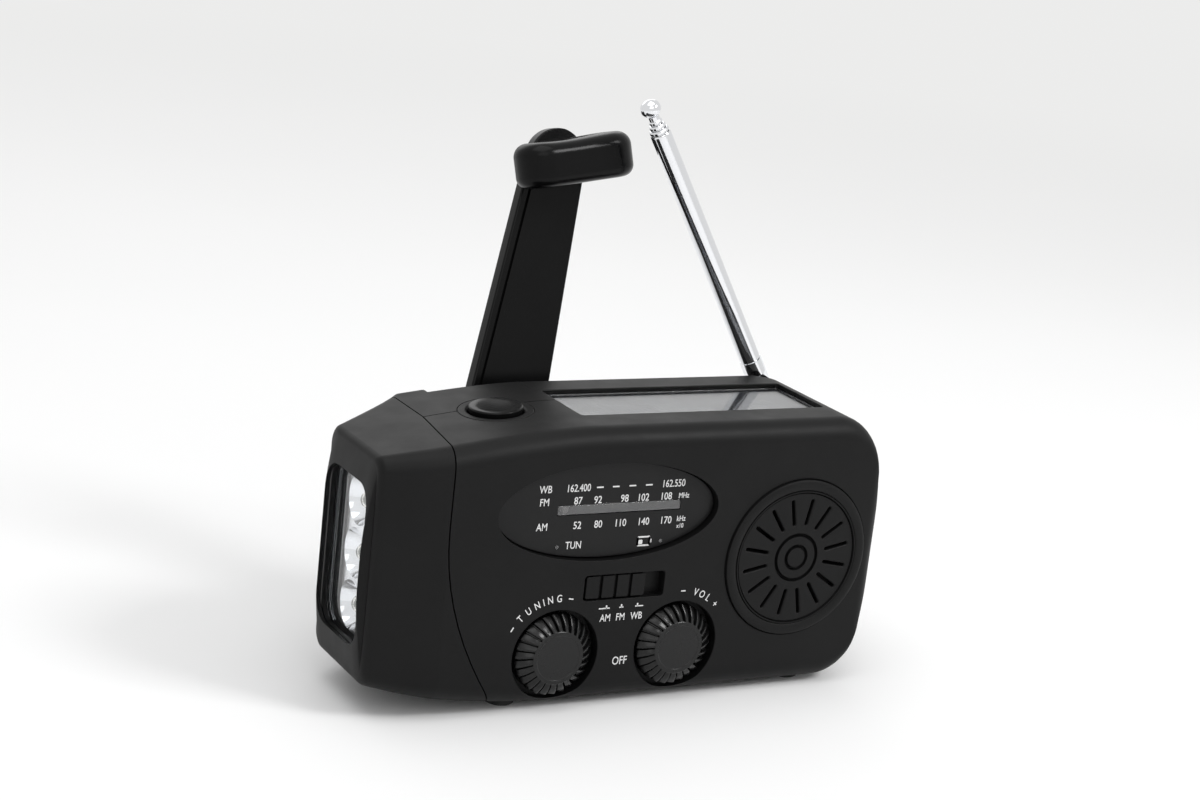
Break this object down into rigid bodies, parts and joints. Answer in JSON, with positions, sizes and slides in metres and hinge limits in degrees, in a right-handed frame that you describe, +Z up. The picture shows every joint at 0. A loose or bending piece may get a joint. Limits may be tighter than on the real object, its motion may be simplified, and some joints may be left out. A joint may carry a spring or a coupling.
{
  "type": "wind-up radio",
  "caption": "Black wind-up emergency radio with a torch head, solar panel, folding crank and telescopic antenna",
  "frame": {"origin": "middle of the whole radio's width and depth at rest, on the surface that its feet stand on", "axes": "+X to the speaker end, +Y to the rear where the crank is, +Z up"},
  "size_m": [0.1234, 0.066, 0.1247],
  "materials": {
    "case_black": "fine matte texture",
    "satin_black": "satin, soft highlights",
    "chrome": "bright polished",
    "reflector_chrome": "vacuum plated",
    "clear_plastic": "clear, smooth",
    "led_clear": "clear epoxy over a warm chip",
    "solar_face": "clear, smooth",
    "solar_cell": "dark blue-grey cells with fine pale lines",
    "dial_black": "smooth, with white print",
    "white_nylon": "natural nylon",
    "circuit_board": "solder mask",
    "battery_wrap": "shrink wrap",
    "ferrite": "sintered",
    "rubber_black": "matte",
    "part_plastic": "moulded",
    "paper_cone": "pressed paper",
    "steel": "plain zinc plated"
  },
  "bodies": {
    "case": {"band_switch": "steel", "battery": "battery_wrap", "button_ring": "case_black", "case_screw_1": "steel", "case_screw_2": "steel", "case_screw_3": "steel", "case_screw_4": "steel", "dial_plate": "dial_black", "dial_window": "clear_plastic", "ferrite_rod": "ferrite", "foot_1": "rubber_black", "foot_2": "rubber_black", "foot_3": "rubber_black", "foot_4": "rubber_black", "front_shell": "case_black", "gearbox_plate": "steel", "generator": "steel", "head_shell": "case_black", "led_board": "circuit_board", "lens_plate": "clear_plastic", "main_board": "circuit_board", "micro_usb_socket": "steel", "rear_shell": "case_black", "reflector": "reflector_chrome", "solar_face": "solar_face", "solar_panel": "solar_cell", "speaker_cone": "paper_cone", "speaker_frame": "steel", "torch_led_1": "led_clear", "torch_led_2": "led_clear", "torch_led_3": "led_clear", "torch_switch": "part_plastic", "tuning_capacitor": "part_plastic", "usb_socket": "steel", "volume_pot": "steel"},
    "tuning": {"tuning_knob": "satin_black", "tuning_shaft": "part_plastic"},
    "pointer": {"tuning_pointer": "white_nylon"},
    "volume": {"volume_knob": "satin_black", "volume_shaft": "steel"},
    "band": {"band_slider": "case_black"},
    "button": {"torch_button": "satin_black"},
    "crank": {"crank_hub": "case_black", "crank_shaft": "steel", "drive_wheel": "white_nylon"},
    "arm": {"crank_arm": "satin_black", "hinge_pin": "steel", "grip_pin": "steel"},
    "grip": {"grip_front_half": "satin_black", "grip_rear_half": "satin_black"},
    "idler": {"idler_gear": "white_nylon"},
    "rotor": {"generator_pinion": "steel"},
    "mast_post": {"antenna_post": "chrome", "antenna_pin": "steel"},
    "mast": {"antenna_foot": "chrome", "antenna_section_1": "chrome"},
    "mast_2": {"antenna_section_2": "chrome"},
    "mast_3": {"antenna_section_3": "chrome"},
    "mast_4": {"antenna_section_4": "chrome"},
    "cover": {"port_cover": "rubber_black"}
  },
  "joints": [
    {"name": "tuning_turn", "type": "hinge", "parent": "case", "child": "tuning", "pos_m": [-0.01769, -0.03144, 0.0126], "axis": [0, 1, 0], "range_deg": [0, 300]},
    {"name": "pointer_slide", "type": "slide", "parent": "case", "child": "pointer", "axis": [1, 0, 0], "range_m": [0, 0.0245]},
    {"name": "volume_turn", "type": "hinge", "parent": "case", "child": "volume", "pos_m": [0.01161, -0.03144, 0.0126], "axis": [0, 1, 0], "range_deg": [0, 280]},
    {"name": "band_slide", "type": "slide", "parent": "case", "child": "band", "axis": [1, 0, 0], "range_m": [0, 0.0044]},
    {"name": "torch_press", "type": "slide", "parent": "case", "child": "button", "axis": [0.0968, 0, -0.9953], "range_m": [0, 0.0012], "stiffness_N_per_m": 500, "springref_m": -0.0008},
    {"name": "crank_spin", "type": "hinge", "parent": "case", "child": "crank", "pos_m": [-0.01199, -0.03144, 0.0466], "axis": [0, -1, 0], "continuous": true},
    {"name": "arm_fold", "type": "hinge", "parent": "crank", "child": "arm", "pos_m": [-0.01199, 0.01606, 0.0466], "axis": [-0.972, 0, 0.2351], "range_deg": [-12.5, 167.5]},
    {"name": "grip_spin", "type": "hinge", "parent": "arm", "child": "grip", "pos_m": [0.00301, 0.0217, 0.1086], "axis": [-0.0509, 0.9763, -0.2104], "continuous": true},
    {"name": "idler_spin", "type": "hinge", "parent": "case", "child": "idler", "pos_m": [-0.01898, -0.03144, 0.03612], "axis": [0, -1, 0], "continuous": true},
    {"name": "rotor_spin", "type": "hinge", "parent": "case", "child": "rotor", "pos_m": [-0.02748, -0.03144, 0.02765], "axis": [0, -1, 0], "continuous": true},
    {"name": "mast_swivel", "type": "hinge", "parent": "case", "child": "mast_post", "pos_m": [0.05221, 0.00956, 0.0586], "axis": [0, 0, -1], "continuous": true},
    {"name": "mast_tilt", "type": "hinge", "parent": "mast_post", "child": "mast", "pos_m": [0.05221, 0.00956, 0.0586], "axis": [0, 1, 0], "range_deg": [-59.2, 30.8]},
    {"name": "mast_slide_2", "type": "slide", "parent": "mast", "child": "mast_2", "axis": [-0.512, 0, 0.859], "range_m": [0, 0.05]},
    {"name": "mast_slide_3", "type": "slide", "parent": "mast_2", "child": "mast_3", "axis": [-0.512, 0, 0.859], "range_m": [0, 0.05]},
    {"name": "mast_slide_4", "type": "slide", "parent": "mast_3", "child": "mast_4", "axis": [-0.512, 0, 0.859], "range_m": [0, 0.05]},
    {"name": "cover_hinge", "type": "hinge", "parent": "case", "child": "cover", "pos_m": [-0.02394, 0.01256, 0.0123], "axis": [1, 0, 0], "range_deg": [-120, 0]}
  ],
  "couplings": [
    {"joint": "pointer_slide", "follows": "tuning_turn", "m_per_rad": 0.0046792},
    {"joint": "idler_spin", "follows": "crank_spin", "ratio": -2.5},
    {"joint": "rotor_spin", "follows": "crank_spin", "ratio": 7.5}
  ]
}
